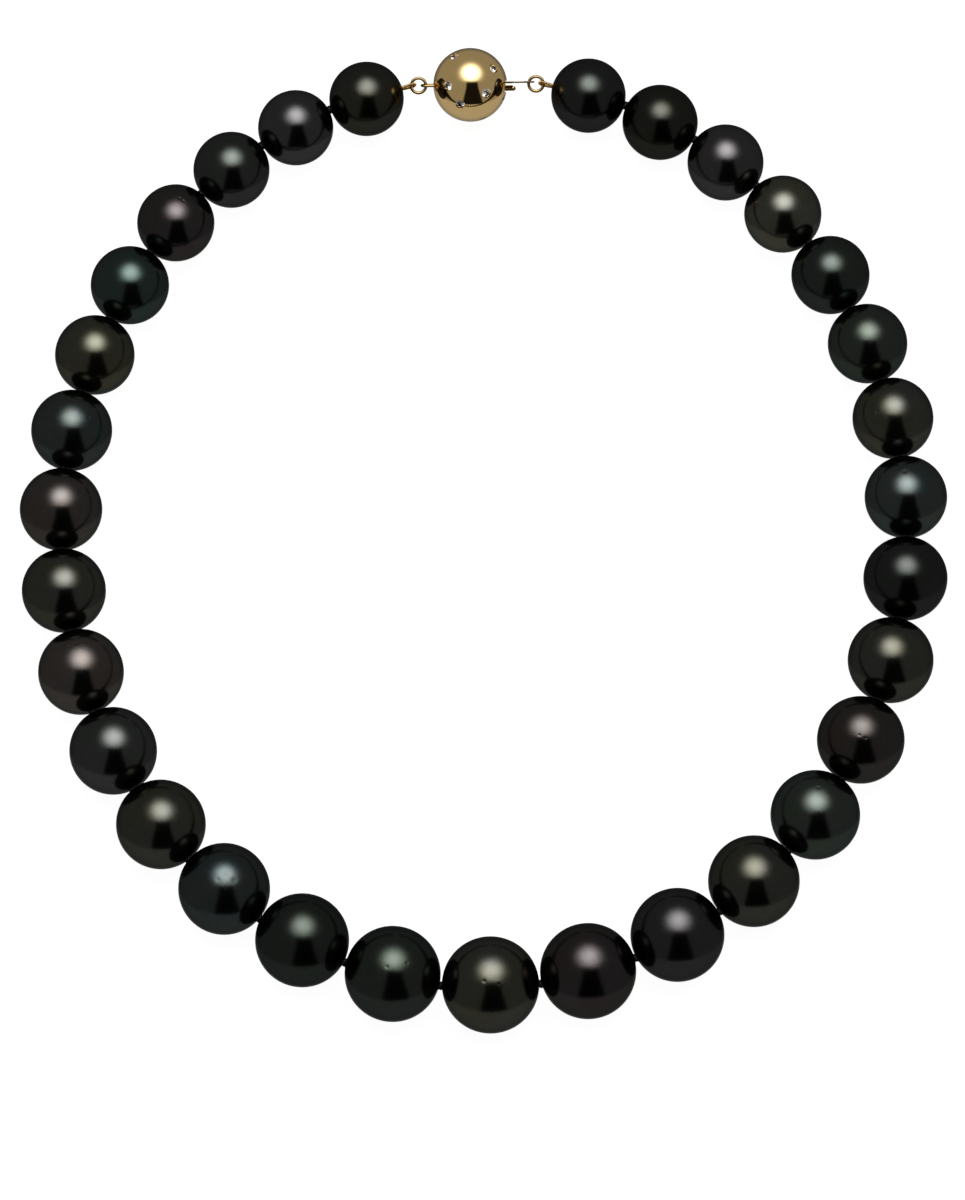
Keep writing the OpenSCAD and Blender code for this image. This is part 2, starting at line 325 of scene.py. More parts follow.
def nacre(i):
    """Polished black nacre: its stacked layers reflect like a very dark mirror, with overtones."""
    tone, gloss = LOOKS[i]
    slot, face, patch, rim = TONES[tone]
    level = REFLECTANCE * gloss
    material, n, shader = new_material(f"nacre_{pearl_name(i)}")
    shift = (i * 7.3, i * 3.1, i * 5.7)
    where = n.place(shift=shift)
    cloud = n.noise(where, 0.16, 2.0)
    rings = n.noise(n.place(shift=shift, stretch=(0.10, 0.10, 1.1)), 1.0, 3.0)
    colours = [(*[level * c for c in tint], 1) for tint in (face, patch, rim)]
    colour = n.mix(n.ramp(cloud, 0.40, 0.66), colours[0], colours[1])
    edge = n.add("ShaderNodeLayerWeight")
    edge.inputs["Blend"].default_value = 0.5
    colour = n.mix(n.ramp(edge.outputs["Facing"], 0.25, 0.85), colour, colours[2])
    fine = n.noise(where, 1.1, 3.0, 0.55)
    shade = n.ramp(fine, 0.2, 0.8, 0.94, 1.06)
    scale = n.add("ShaderNodeVectorMath", operation="SCALE")
    n.link(colour, scale.inputs[0])
    n.link(shade, scale.inputs["Scale"])
    n.link(scale.outputs[0], shader.inputs["Base Color"])
    shader.inputs["Metallic"].default_value = 1.0
    shader.inputs["Specular Tint"].default_value = grey(RIM_TINT)
    rough = n.math("ADD", n.math("MULTIPLY", cloud, UNEVEN_GLOSS),
                   n.math("MULTIPLY", fine, UNEVEN_GLOSS))
    n.link(n.math("ADD", rough, NACRE_ROUGHNESS), shader.inputs["Roughness"])
    grain = n.noise(where, 2.4, 4.0, 0.6)
    n.link(n.bump(rings, 0.06, 0.1 * MM, n.bump(grain, 0.10, 0.04 * MM)),
           shader.inputs["Normal"])
    return material, slot


def gold(name, colour, rim, roughness, wear):
    """Yellow gold with faint polishing marks: its rim's tint, and how far wear varies its gloss."""
    material, n, shader = new_material(name)
    where = n.place()
    cloud = n.noise(where, 0.5, 3.0)
    fine = n.noise(n.place(stretch=(1.0, 6.0, 1.0)), 2.6, 5.0, 0.65)
    deep = [0.94 * c for c in colour]
    n.link(n.mix(cloud, (*colour, 1), (*deep, 1)), shader.inputs["Base Color"])
    shader.inputs["Metallic"].default_value = 1.0
    shader.inputs["Specular Tint"].default_value = grey(rim)
    n.link(n.math("ADD", n.math("MULTIPLY", fine, wear), roughness - wear / 2),
           shader.inputs["Roughness"])
    n.link(n.bump(fine, 0.05, 0.02 * MM), shader.inputs["Normal"])
    return material


def silk():
    """Black silk: twisted fibres with a soft sheen."""
    material, n, shader = new_material("black_silk")
    where = n.place(stretch=(1, 1, 0.25))
    fibre = n.noise(where, 9.0, 3.0, 0.6, 0.4)
    n.link(n.mix(fibre, (0.003, 0.003, 0.003, 1), (0.014, 0.013, 0.011, 1)),
           shader.inputs["Base Color"])
    shader.inputs["Roughness"].default_value = 0.62
    shader.inputs["Sheen Weight"].default_value = 0.15
    shader.inputs["Sheen Roughness"].default_value = 0.4
    n.link(n.bump(fibre, 0.6, 0.03 * MM), shader.inputs["Normal"])
    return material


def diamond_glass():
    """Cut diamond, faintly uneven in its clarity."""
    material, n, shader = new_material("cut_diamond")
    cloud = n.noise(n.place(), 1.5, 2.0)
    n.link(n.mix(cloud, (0.66, 0.64, 0.64, 1), (0.74, 0.73, 0.73, 1)),
           shader.inputs["Base Color"])
    shader.inputs["Transmission Weight"].default_value = 1.0
    shader.inputs["IOR"].default_value = 2.2
    shader.inputs["Roughness"].default_value = 0.08
    return material


# ---------------------------------------------------------------- pearls

BORE_R = 0.5 * MM
MOUTH_R = 0.93 * MM
MOUTH_DEPTH = 0.45 * MM     # deep enough for the knot to stay clear at the fold's limits
MOUTH_LIP = 0.05 * MM
SEAT_R = 0.6 * MM           # of the wider hole that takes the gimp in an end pearl
SEAT_DEPTH = 1.1 * MM
SEAT_MOUTH = 0.2 * MM
PEARL_RINGS = 64
PEARL_SEGMENTS = 96
LUMP_SIZE, LUMP_HEIGHT = 0.55, 0.004            # as shares of the pearl's radius
RIPPLE_SIZE, RIPPLE_HEIGHT = 5.0, 0.006 * MM
# Small pits and dents: (pearl, how far right and how far up its face as shares of its radius,
# width in mm, depth in mm)
BLEMISHES = (
    (1, -0.35, 0.10, 0.5, 0.03), (4, 0.12, 0.62, 0.5, 0.05), (4, 0.22, 0.55, 0.4, 0.04),
    (4, -0.20, -0.52, 0.6, 0.04), (7, 0.45, 0.30, 0.4, 0.05), (9, 0.52, 0.38, 0.5, 0.06),
    (9, 0.60, 0.28, 0.4, 0.04), (10, -0.08, 0.68, 0.7, 0.045), (10, 0.14, 0.72, 0.6, 0.04),
    (10, -0.25, 0.60, 0.5, 0.04), (10, 0.30, 0.62, 0.4, 0.04), (13, 0.05, 0.36, 1.4, 0.045),
    (13, 0.24, 0.20, 1.0, 0.035), (13, -0.12, 0.22, 0.8, 0.03), (15, -0.11, 0.17, 0.5, 0.04),
    (15, 0.31, 0.24, 0.4, 0.03), (16, -0.13, 0.10, 0.55, 0.05), (16, 0.17, 0.03, 0.4, 0.025),
    (17, 0.10, -0.30, 0.4, 0.03), (20, 0.06, 0.62, 0.5, 0.04), (21, -0.05, 0.12, 0.4, 0.04),
    (21, 0.09, 0.05, 0.35, 0.03), (24, -0.04, 0.62, 0.7, 0.04), (25, -0.42, 0.16, 0.4, 0.05),
    (25, -0.50, 0.02, 0.4, 0.05), (28, 0.30, -0.55, 0.5, 0.04), (30, -0.10, 0.70, 0.4, 0.03),
)


def pearl_profile(r, outer_seat):
    """Closed (radius, z) outline of a drilled pearl, from the outer mouth round to the bore."""
    mouth_angle = math.asin(MOUTH_R / r)
    surface = []
    for k in range(PEARL_RINGS + 1):
        a = mouth_angle + (math.pi - 2 * mouth_angle) * k / PEARL_RINGS
        surface.append((r * math.sin(a), r * math.cos(a)))
    mouth_z = r * math.cos(mouth_angle)
    lip_r, lip_z = MOUTH_R - MOUTH_LIP, mouth_z - 0.25 * MOUTH_LIP
    bore = [(lip_r, -lip_z), (BORE_R, -mouth_z + MOUTH_DEPTH)]
    if outer_seat:
        bore += [(BORE_R, mouth_z - SEAT_DEPTH), (SEAT_R, mouth_z - SEAT_DEPTH),
                 (SEAT_R, mouth_z - SEAT_MOUTH)]
    else:
        bore.append((BORE_R, mouth_z - MOUTH_DEPTH))
    return surface + bore + [(lip_r, lip_z)]


def refine(mesh_bm, centre, half):
    """Splits the faces near a blemish, so that it is a shape and not a shading effect."""
    reach = 5 * half
    small = half < 0.4 * MM
    for _ in range(2 if small else 1):
        edges = [e for e in mesh_bm.edges
                 if all((v.co - centre).length < reach for v in e.verts)]
        bmesh.ops.subdivide_edges(mesh_bm, edges=edges, cuts=1, use_grid_fill=True)


def skin(i, r, spots, point):
    """A point on the pearl's outer surface: a slightly uneven round with its blemishes."""
    d = point.normalized()
    lumps = noise.noise(d * LUMP_SIZE + Vector((i * 2.7, i, 0)))
    ripple = noise.noise(d * RIPPLE_SIZE + Vector((0, i * 1.9, i)))
    height = r * (1.0 - LUMP_HEIGHT * (1 + lumps)) - RIPPLE_HEIGHT * (1 + ripple)
    for where, half, depth in spots:
        away = (d - where).length * r / half
        if away < 2.5:
            height -= depth * math.exp(-away * away)
    return d * height


def make_pearl(i):
    """A drilled pearl, its surface sculpted with a little unevenness and its blemishes."""
    r = pearl_radius(i)
    at = frame_of(pearl_centre(i), outward(i))
    to_local = at.to_3x3().transposed()
    facing = Matrix.Rotation(VIEW_TILT, 3, "X")
    spots = []
    for pearl, right, up, width, depth in BLEMISHES:
        if pearl == i:
            d = facing @ Vector((right, up, math.sqrt(1 - right * right - up * up)))
            spots.append((to_local @ d, width / 2 * MM, depth * MM))
    bm = bmesh.new()
    verts, faces = revolved(pearl_profile(r, i in (1, PEARLS)), PEARL_SEGMENTS)
    for v in verts:
        bm.verts.new(v)
    bm.verts.ensure_lookup_table()
    for f in faces:
        bm.faces.new([bm.verts[k] for k in reversed(f)])
    for where, half, _ in spots:
        refine(bm, where * r, half)
    surface_r = r * 0.9985 - 0.02 * MM
    for v in bm.verts:
        if v.co.length > surface_r and math.hypot(v.co.x, v.co.y) > MOUTH_R * 0.99:
            v.co = skin(i, r, spots, v.co)
    bmesh.ops.recalc_face_normals(bm, faces=bm.faces)
    mesh = bpy.data.meshes.new(pearl_name(i))
    bm.to_mesh(mesh)
    bm.free()
    mesh.shade_smooth()
    material, slot = nacre(i)
    obj = placed(f"nacre_{pearl_name(i)}", mesh, pearl_name(i), material, at)
    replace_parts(obj, pearl_name(i))


# ---------------------------------------------------------------- silk

PLY_R = 0.165 * MM
PLY_ASIDE = 0.13 * MM
PLY_STEP = 0.28 * MM
PLY_TURNS = 0.55 / MM
KNOT_HALF = 0.34 * MM
# Radius of the knot's core at these shares of its half length
KNOT_CORE = ((-0.9, 0.3 * MM), (-0.5, 0.48 * MM), (0, 0.54 * MM), (0.5, 0.48 * MM), (0.9, 0.3 * MM))
WRAP_R = 0.17 * MM
WRAP_ROUND, WRAP_UNEVEN = 0.52 * MM, 0.03 * MM
WRAP_SWAY, WRAP_SHIFT = 0.17 * MM, 0.10 * MM
THREAD_END = 2.2 * MM       # how deep in an end pearl its thread passes into the silk loop


def plies(start, end):
    """Two plies of silk twisted round the line from start to end."""
    at = frame_of(start, end - start)
    length = (end - start).length
    steps = max(8, int(length / PLY_STEP))
    parts = []
    for ply in (0, 1):
        points = []
        for k in range(steps + 1):
            z = length * k / steps
            a = math.pi * ply + 2 * math.pi * PLY_TURNS * z
            points.append(at @ Vector((PLY_ASIDE * math.cos(a), PLY_ASIDE * math.sin(a), z)))
        parts.append(tube(points, PLY_R, 8))
    return joined(*parts)


def wraps(at):
    """An overhand knot pulled tight: three fat wraps of silk that cross over a core."""
    core = [at @ Vector((0, 0, share * KNOT_HALF)) for share, _ in KNOT_CORE]
    parts = [tube(core, [radius for _, radius in KNOT_CORE], 16)]
    steps = 40
    for wrap in (0, 1, 2):
        points = []
        for k in range(steps):
            a = 2 * math.pi * (k / steps + wrap / 3)
            z = WRAP_SWAY * math.sin(a * 2 + wrap) + (wrap - 1) * WRAP_SHIFT
            rho = WRAP_ROUND + WRAP_UNEVEN * math.cos(3 * a)
            points.append(at @ Vector((rho * math.cos(a), rho * math.sin(a), z)))
        parts.append(tube(points, WRAP_R, 8, closed=True))
    return joined(*parts)


def make_silk(material):
    """The silk of each pearl: the thread in its hole, and the knot on the side of the middle."""
    for i in range(1, PEARLS + 1):
        centre, r, out = pearl_centre(i), pearl_radius(i), outward(i)
        inner = knot_point(i) if i < MIDDLE else knot_point(i - 1)
        if i == MIDDLE:
            parts = [plies(knot_point(i - 1), knot_point(i))]
        elif i in (1, PEARLS):
            parts = [plies(inner, centre + out * (r - THREAD_END))]
        else:
            parts = [plies(inner, 2 * centre - inner)]
        if i != MIDDLE:
            parts.append(wraps(frame_of(inner, out)))
        verts, faces = joined(*parts)
        obj = piece(f"silk_of_{pearl_name(i)}", verts, faces, pearl_name(i), material)
        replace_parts(obj, "silk_thread")


# ---------------------------------------------------------------- end loops and jump rings

NOSE_R = 0.65 * MM
GIMP_LEAN = math.radians(11.5)
GIMP_TILT = math.radians(2)
GIMP_TAIL = 1.81 * MM
COIL_R = 0.2 * MM
COIL_WIRE_R = 0.055 * MM
COIL_PITCH = 0.125 * MM
SILK_LOOP_R = 0.1 * MM
SILK_TAIL = 3.1 * MM


def teardrop_path(lean, tail, step):
    """Points of a loop in the XZ plane: two tails from the -X side, and a nose round the origin."""
    half_turn = math.pi / 2 + lean
    start = Vector((NOSE_R * math.cos(half_turn), 0, NOSE_R * math.sin(half_turn)))
    along = Vector((-math.sin(half_turn), 0, math.cos(half_turn)))
    points = []
    tail_steps = max(2, int(tail / step))
    for k in range(tail_steps):
        points.append(start + along * tail * (1 - k / tail_steps))
    arc_steps = max(8, int(2 * half_turn * NOSE_R / step))
    for k in range(arc_steps + 1):
        a = half_turn - 2 * half_turn * k / arc_steps
        points.append(Vector((NOSE_R * math.cos(a), 0, NOSE_R * math.sin(a))))
    mirrored = Vector((start.x, 0, -start.z))
    back = Vector((along.x, 0, -along.z))
    for k in range(1, tail_steps + 1):
        points.append(mirrored + back * tail * k / tail_steps)
    return points


def coil(points):
    """A close coil of fine wire round the line through the points."""
    per_turn = 12
    lengths = [0.0]
    for a, b in zip(points, points[1:]):
        lengths.append(lengths[-1] + (b - a).length)
    total = lengths[-1]
    count = int(total / COIL_PITCH * per_turn)
    line = []
    normal = (points[1] - points[0]).orthogonal().normalized()
    k = 0
    for c in range(count + 1):
        s = total * c / count
        while k < len(points) - 2 and lengths[k + 1] < s:
            k += 1
        share = (s - lengths[k]) / (lengths[k + 1] - lengths[k])
        here = points[k].lerp(points[k + 1], share)
        along = (points[k + 1] - points[k]).normalized()
        normal = (normal - along * normal.dot(along)).normalized()
        side = along.cross(normal)
        a = 2 * math.pi * c / per_turn
        line.append(here + COIL_R * (normal * math.cos(a) + side * math.sin(a)))
    return tube(line, COIL_WIRE_R, 7)


def make_end_loops(gimp_gold, black_silk):
    """The loops beyond the end pearls: silk, sheathed in a coil of fine gold wire."""
    for side, i, hand in (("left", 1, -1), ("right", PEARLS, 1)):
        out = outward(i)
        across = Z.cross(out).normalized()
        basis = Matrix((out, across, out.cross(across))).transposed().to_4x4()
        at = (Matrix.Translation(joint_point(f"ring_{side}_swing")) @ basis
              @ Matrix.Rotation(hand * GIMP_TILT, 4, "X"))
        body = pearl_name(i)
        verts, faces = turned(coil(teardrop_path(GIMP_LEAN, GIMP_TAIL, 0.06 * MM)), at)
        obj = piece(f"gimp_coil_{side}", verts, faces, body, gimp_gold)
        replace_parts(obj, f"gimp_loop_{side}")
        path = teardrop_path(GIMP_LEAN, SILK_TAIL, 0.15 * MM)
        verts, faces = turned(tube(path, SILK_LOOP_R, 8), at)
        obj = piece(f"silk_loop_{side}", verts, faces, body, black_silk)
        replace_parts(obj, "silk_thread")


RING_WIRE_R = 0.25 * MM
RING_STEPS = 72


def make_jump_ring(side, material):
    """A round wire ring, soldered shut, with a faint seam where its ends meet."""
    low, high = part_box(f"jump_ring_{side}")
    centre = (low + high) / 2
    big = (high.x - low.x) / 2 - RING_WIRE_R
    roll = Matrix.Rotation(CLASP_ROLL, 3, "X")
    points, radii = [], []
    for k in range(RING_STEPS):
        a = 2 * math.pi * k / RING_STEPS
        points.append(centre + big * (roll @ Vector((math.cos(a), math.sin(a), 0))))
        at_seam = k == 0
        radii.append(RING_WIRE_R * (0.955 if at_seam else 0.995))
    verts, faces = tube(points, radii, 16, closed=True)
    obj = piece(f"ring_{side}", verts, faces, f"ring_{side}", material)
    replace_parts(obj, f"jump_ring_{side}")


# ---------------------------------------------------------------- ball clasp

BALL_R = 6.0 * MM
BALL_WALL = 0.8 * MM
SLOT_LOW, SLOT_HIGH, SLOT_HALF = -1.3 * MM, 0.6 * MM, 1.8 * MM
STONE_R = 0.75 * MM
STONE_SEAT_R = STONE_R + 0.02 * MM
SEAT_BEVEL = 0.06 * MM
SEAT_BELOW = 0.45 * MM
SEAT_HOLE_R = 0.57 * MM
GIRDLE_BELOW = 0.28 * MM
# Stones on the ball's front: angle from the tongue's side and roll about the clasp, in degrees
FRONT_STONES = ((116, 31), (50, 57), (128, 93), (64, 107), (107, 125), (27, 157), (70, 173))


def stone_directions():
    """Where the stones are: the front's, and the same ones turned half a turn to the back."""
    places = list(FRONT_STONES) + [(a, roll + 180) for a, roll in FRONT_STONES]
    found = []
    for a, roll in places:
        turn = Matrix.Rotation(math.radians(a), 3, "Z")
        found.append(Matrix.Rotation(math.radians(roll), 3, "X") @ turn @ X)
    return found


def mesh_from(part, name="cutter"):
    """A mesh of (verts, faces) with its doubles merged and its faces outward."""
    verts, faces = part
    mesh = bpy.data.meshes.new(name)
    mesh.from_pydata([tuple(v) for v in verts], [], faces)
    bm = bmesh.new()
    bm.from_mesh(mesh)
    bmesh.ops.remove_doubles(bm, verts=bm.verts, dist=1e-7)
    bmesh.ops.recalc_face_normals(bm, faces=bm.faces)
    bm.to_mesh(mesh)
    bm.free()
    return mesh


def solid_of(profile, segments):
    """A solid of revolution whose profile starts and ends on the axis."""
    n = len(profile)
    verts = [(0, 0, profile[0][1])]
    for s in range(segments):
        a = 2 * math.pi * s / segments
        verts += [(r * math.cos(a), r * math.sin(a), z) for r, z in profile[1:-1]]
    verts.append((0, 0, profile[-1][1]))
    inner, last = n - 2, len(verts) - 1
    faces = []
    for s in range(segments):
        t = (s + 1) % segments
        a, b = 1 + s * inner, 1 + t * inner
        faces.append((0, a, b))
        faces.append((last, b + inner - 1, a + inner - 1))
        faces += [(a + k, a + k + 1, b + k + 1, b + k) for k in range(inner - 1)]
    return verts, faces


def half_ball(hand):
    """Half of a hollow ball about the origin, towards +X where hand is 1, on a fine mesh."""
    rows, inner_rows, segments = 40, 20, 128
    profile = []
    for k in range(rows + 1):
        a = math.pi / 2 * k / rows
        profile.append((BALL_R * math.sin(a), BALL_R * math.cos(a)))
    inner_r = BALL_R - BALL_WALL
    profile.append((inner_r, 0.0))
    for k in range(1, inner_rows):
        a = math.pi / 2 * k / inner_rows
        profile.append((inner_r * math.cos(a), inner_r * math.sin(a)))
    profile.append((0, inner_r))
    turn = Matrix.Rotation(hand * math.pi / 2, 4, "Y")
    return turned(solid_of(profile, segments), turn)


def seat_cutter(direction):
    """What a stone's seat takes out of the wall, with the bright bevel round its edge."""
    top, bottom = BALL_R + 0.5 * MM, BALL_R - BALL_WALL - 0.4 * MM
    edge, seat = STONE_R + SEAT_BEVEL, BALL_R - SEAT_BELOW
    profile = [(0, top), (edge + 0.5 * MM, top), (edge, BALL_R - 0.04 * MM),
               (STONE_SEAT_R, BALL_R - 0.12 * MM), (STONE_SEAT_R, seat), (SEAT_HOLE_R, seat),
               (SEAT_HOLE_R, bottom), (0, bottom)]
    return turned(solid_of(profile, 48), frame_of(Vector(), direction, Y))


def box_part(low, high):
    """A box between two corners."""
    outline = [(low[0], low[1]), (high[0], low[1]), (high[0], high[1]), (low[0], high[1])]
    return turned(extruded(outline, high[2] - low[2]), Matrix.Translation((0, 0, low[2])))


def cut(mesh, cutters):
    """The mesh less the cutters, by an exact boolean."""
    collection = bpy.context.scene.collection
    target = bpy.data.objects.new("target", mesh)
    collection.objects.link(target)
    made = [target]
    for part in cutters:
        cutter = bpy.data.objects.new("cutter", mesh_from(part))
        collection.objects.link(cutter)
        made.append(cutter)
        change = target.modifiers.new("cut", "BOOLEAN")
        change.operation, change.solver, change.object = "DIFFERENCE", "EXACT", cutter
    graph = bpy.context.evaluated_depsgraph_get()
    result = bpy.data.meshes.new_from_object(target.evaluated_get(graph))
    for obj in made:
        bpy.data.objects.remove(obj)
    return result


def shade_as_ball(mesh):
    """Smooth shading, in which the faces of the outer sphere get the sphere's own normals."""
    mesh.shade_smooth()
    mesh.set_sharp_from_angle(angle=math.radians(35))
    co = np.empty(len(mesh.vertices) * 3)
    mesh.vertices.foreach_get("co", co)
    distance = np.linalg.norm(co.reshape(-1, 3), axis=1)
    normals = [Vector(c.vector) for c in mesh.corner_normals]
    for polygon in mesh.polygons:
        on = all(abs(distance[v] - BALL_R) < 0.012 * MM for v in polygon.vertices)
        if on and polygon.normal.dot(Vector(polygon.center).normalized()) > 0.9:
            for loop in polygon.loop_indices:
                vertex = mesh.vertices[mesh.loops[loop].vertex_index]
                normals[loop] = Vector(vertex.co).normalized()
    mesh.normals_split_custom_set(normals)


def make_ball(at, polished):
    """The ball's two halves, with seats for the stones, the tongue's slot and the eye's holes."""
    directions = stone_directions()
    for side, hand in (("left", -1), ("right", 1)):
        cutters = [seat_cutter(d) for d in directions if hand * d.x > 0]
        if hand > 0:
            cutters.append(box_part((BALL_R - 2 * BALL_WALL, SLOT_LOW, -SLOT_HALF),
                                    (2 * BALL_R, SLOT_HIGH, SLOT_HALF)))
        else:
            for z in (-NOSE_R, NOSE_R):
                start = Vector((-BALL_R - MM, 0, z))
                hole = tube([start, start + EYE_HOLE_LENGTH * X], EYE_WIRE_R + 0.02 * MM, 24)
                cutters.append(turned(hole, Matrix.Rotation(EYE_TILT, 4, "X")))
        mesh = cut(mesh_from(half_ball(hand), f"ball_{side}"), cutters)
        shade_as_ball(mesh)
        obj = placed(f"ball_{side}", mesh, "clasp_ball", polished, at)
        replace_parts(obj, f"ball_half_{side}")


EYE_WIRE_R = 0.22 * MM
EYE_HOLE_LENGTH = 2.6 * MM
EYE_REACH = 8.4 * MM
EYE_TILT = math.radians(8)
EYE_TAIL = 2.2 * MM
RING_R = 1.2 * MM


def make_eye(at, wire_gold):
    """The fixed wire eye on the ball's left side."""
    path = [Vector((-p.x, p.y, p.z)) for p in teardrop_path(0.0, EYE_TAIL, 0.08 * MM)]
    place = (at @ Matrix.Translation((RING_R - EYE_REACH, 0, 0))
             @ Matrix.Rotation(EYE_TILT, 4, "X"))
    verts, faces = turned(tube(path, EYE_WIRE_R, 16), place)
    obj = piece("eye_wire", verts, faces, "clasp_ball", wire_gold)
    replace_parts(obj, "ball_eye")


def brilliant():
    """A round brilliant cut about the origin, table up, with crown, girdle and pavilion facets."""
    r = STONE_R
    girdle = 0.05 * MM
    crown, depth = 0.19 * MM, 0.60 * MM
    table = 0.56 * r
    verts, faces = [], []

    def ring(count, radius, z, offset=0.0):
        first = len(verts)
        for k in range(count):
            a = 2 * math.pi * (k + offset) / count
            verts.append((radius * math.cos(a), radius * math.sin(a), z))
        return first

    top = ring(8, table, crown + girdle)
    star = ring(8, 0.79 * r, 0.55 * crown + girdle, 0.5)
    upper = ring(16, r, girdle)
    lower = ring(16, r, 0.0)
    pavilion = ring(8, 0.42 * r, -0.56 * depth, 0.5)
    culet = len(verts)
    verts.append((0, 0, -depth))
    faces.append(tuple(top + k for k in range(8)))
    for k in range(8):
        t = (k + 1) % 8
        u = 2 * k
        faces.append((top + k, star + k, top + t))
        faces.append((top + k, star + (k - 1) % 8, upper + u, star + k))
        faces.append((star + k, upper + u, upper + u + 1))
        faces.append((star + k, upper + u + 1, upper + (u + 2) % 16))
        faces.append((pavilion + k, lower + (u + 1), lower + u))
        faces.append((pavilion + k, lower + (u + 2) % 16, lower + u + 1))
        faces.append((culet, pavilion + k, lower + u, pavilion + (k - 1) % 8))
    for k in range(16):
        t = (k + 1) % 16
        faces.append((upper + k, lower + k, lower + t, upper + t))
    return verts, faces


def make_diamonds(at, glass):
    """The stones, each turned a little more than the last about its own axis."""
    for k, direction in enumerate(stone_directions()):
        place = (at @ frame_of(direction * (BALL_R - GIRDLE_BELOW), direction, Y)
                 @ Matrix.Rotation(0.7 * k, 4, "Z"))
        mesh = mesh_from(brilliant(), f"stone_{k + 1:02d}")
        obj = placed(f"stone_{k + 1:02d}", mesh, "clasp_ball", glass, place)
        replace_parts(obj, f"diamond_{k + 1:02d}")


# ---------------------------------------------------------------- tongue

LEAF_WIDTH = 3.2 * MM
LEAF = 0.25 * MM
FOLD_X, FOLD_Y = -1.3 * MM, 0.1 * MM
FOLD_INNER, FOLD_OUTER = 0.1 * MM, 0.35 * MM
PLATE_EYE_R = 0.95 * MM
PLATE_HOLE_R = 0.53 * MM
PLATE_NARROW = 0.6 * MM
NECK_END = 6.9 * MM


def bevelled(obj, width):
    """The object with its sharp edges rounded."""
    change = obj.modifiers.new("edge", "BEVEL")
    change.width, change.segments, change.limit_method = width, 2, "ANGLE"
    change.angle_limit = math.radians(40)
    return obj


def plate_outline(reach):
    """The fixed leaf's outline along X, with a round eye at its end."""
    half, fold = LEAF_WIDTH / 2, FOLD_X + 0.05 * MM
    points = [(fold, -half), (NECK_END, -half), (NECK_END, -PLATE_NARROW)]
    hole = reach - RING_R
    meet = math.asin(PLATE_NARROW / PLATE_EYE_R)
    for k in range(33):
        a = -math.pi + meet + (2 * math.pi - 2 * meet) * k / 32
        points.append((hole + PLATE_EYE_R * math.cos(a), PLATE_EYE_R * math.sin(a)))
    return points + [(NECK_END, PLATE_NARROW), (NECK_END, half), (fold, half)]


def make_tongue(at, wire_gold):
    """The fixed leaf, whose eye holds the right jump ring."""
    low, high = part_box("jump_ring_right")
    reach = (low.x + high.x) / 2 - at.translation.x
    lay = (at @ Matrix.Translation((0, FOLD_Y + FOLD_OUTER, 0))
           @ Matrix.Rotation(math.pi / 2, 4, "X"))
    mesh = mesh_from(extruded(plate_outline(reach), LEAF), "tongue_leaf")
    hole = tube([Vector((reach - RING_R, 0, -MM)), Vector((reach - RING_R, 0, MM))],
                PLATE_HOLE_R, 32)
    mesh = cut(mesh, [hole])
    obj = placed("tongue_leaf", mesh, "clasp_tongue", wire_gold, lay)
    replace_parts(bevelled(obj, 0.04 * MM), "tongue_plate")


def spring_outline():
    """Side view of the sprung leaf: fold, falling leaf, catch shoulder and neck."""
    shoulder, low, neck_low, neck_high = 4.7 * MM, -1.0 * MM, -0.35 * MM, -0.15 * MM
    outer = [(FOLD_X + FOLD_OUTER * math.cos(a), FOLD_Y + FOLD_OUTER * math.sin(a))
             for a in np.linspace(math.pi / 2, 1.5 * math.pi, 17)]
    inner = [(FOLD_X + FOLD_INNER * math.cos(a), FOLD_Y + FOLD_INNER * math.sin(a))
             for a in np.linspace(1.5 * math.pi, math.pi / 2, 13)]
    lower = [(shoulder, low), (shoulder, neck_low), (NECK_END, neck_low), (NECK_END, neck_high),
             (shoulder - LEAF, neck_high), (shoulder - LEAF, low + 1.1 * LEAF)]
    return outer + lower + inner


def make_spring(at, soft):
    """The sprung leaf, folded back under the fixed one."""
    part = extruded(spring_outline(), LEAF_WIDTH)
    place = at @ Matrix.Translation((0, 0, -LEAF_WIDTH / 2))
    obj = placed("tongue_spring_leaf", mesh_from(part, "tongue_spring_leaf"), "thumb_leaf", soft,
                 place)
    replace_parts(bevelled(obj, 0.03 * MM), "tongue_spring")


BAR_R, BAR_START, BAR_END = 0.38 * MM, 5.35 * MM, 7.0 * MM
BAR_BELOW, BAR_FLAT = 0.68 * MM, 0.35 * MM      # of the bar's line and of its flat
BAR_EDGE = 0.05 * MM


def make_thumb_bar(at, wire_gold):
    """The thumb bar: a short rod with a domed end and a flat where it meets the sprung leaf."""
    radius, start, end = BAR_R, BAR_START, BAR_END
    profile = [(0, start), (radius - BAR_EDGE, start), (radius, start + BAR_EDGE)]
    profile += [(radius, start + (end - start) * k / 6) for k in range(1, 7)]
    profile += [(radius * math.cos(a), end + radius * math.sin(a))
                for a in np.linspace(0.12, math.pi / 2 - 0.12, 10)]
    profile.append((0, end + radius))
    rod = turned(solid_of(profile, 40), Matrix.Translation((0, -BAR_BELOW, 0))
                 @ Matrix.Rotation(math.pi / 2, 4, "Y"))
    flat = box_part((start - MM, -BAR_FLAT, -MM), (end + MM, MM, MM))
    mesh = cut(mesh_from(rod, "thumb_rod"), [flat])
    mesh.shade_smooth()
    mesh.set_sharp_from_angle(angle=math.radians(40))
    obj = placed("thumb_rod", mesh, "thumb_leaf", wire_gold, at)
    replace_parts(obj, "thumb_bar")


def finish_catch_box(material):
    """The catch box inside the ball is carried over from the frame, in satin gold."""
    node = frame["nodes"]["catch_box"]
    node.data.materials.clear()
    node.data.materials.append(material)


# ---------------------------------------------------------------- studio

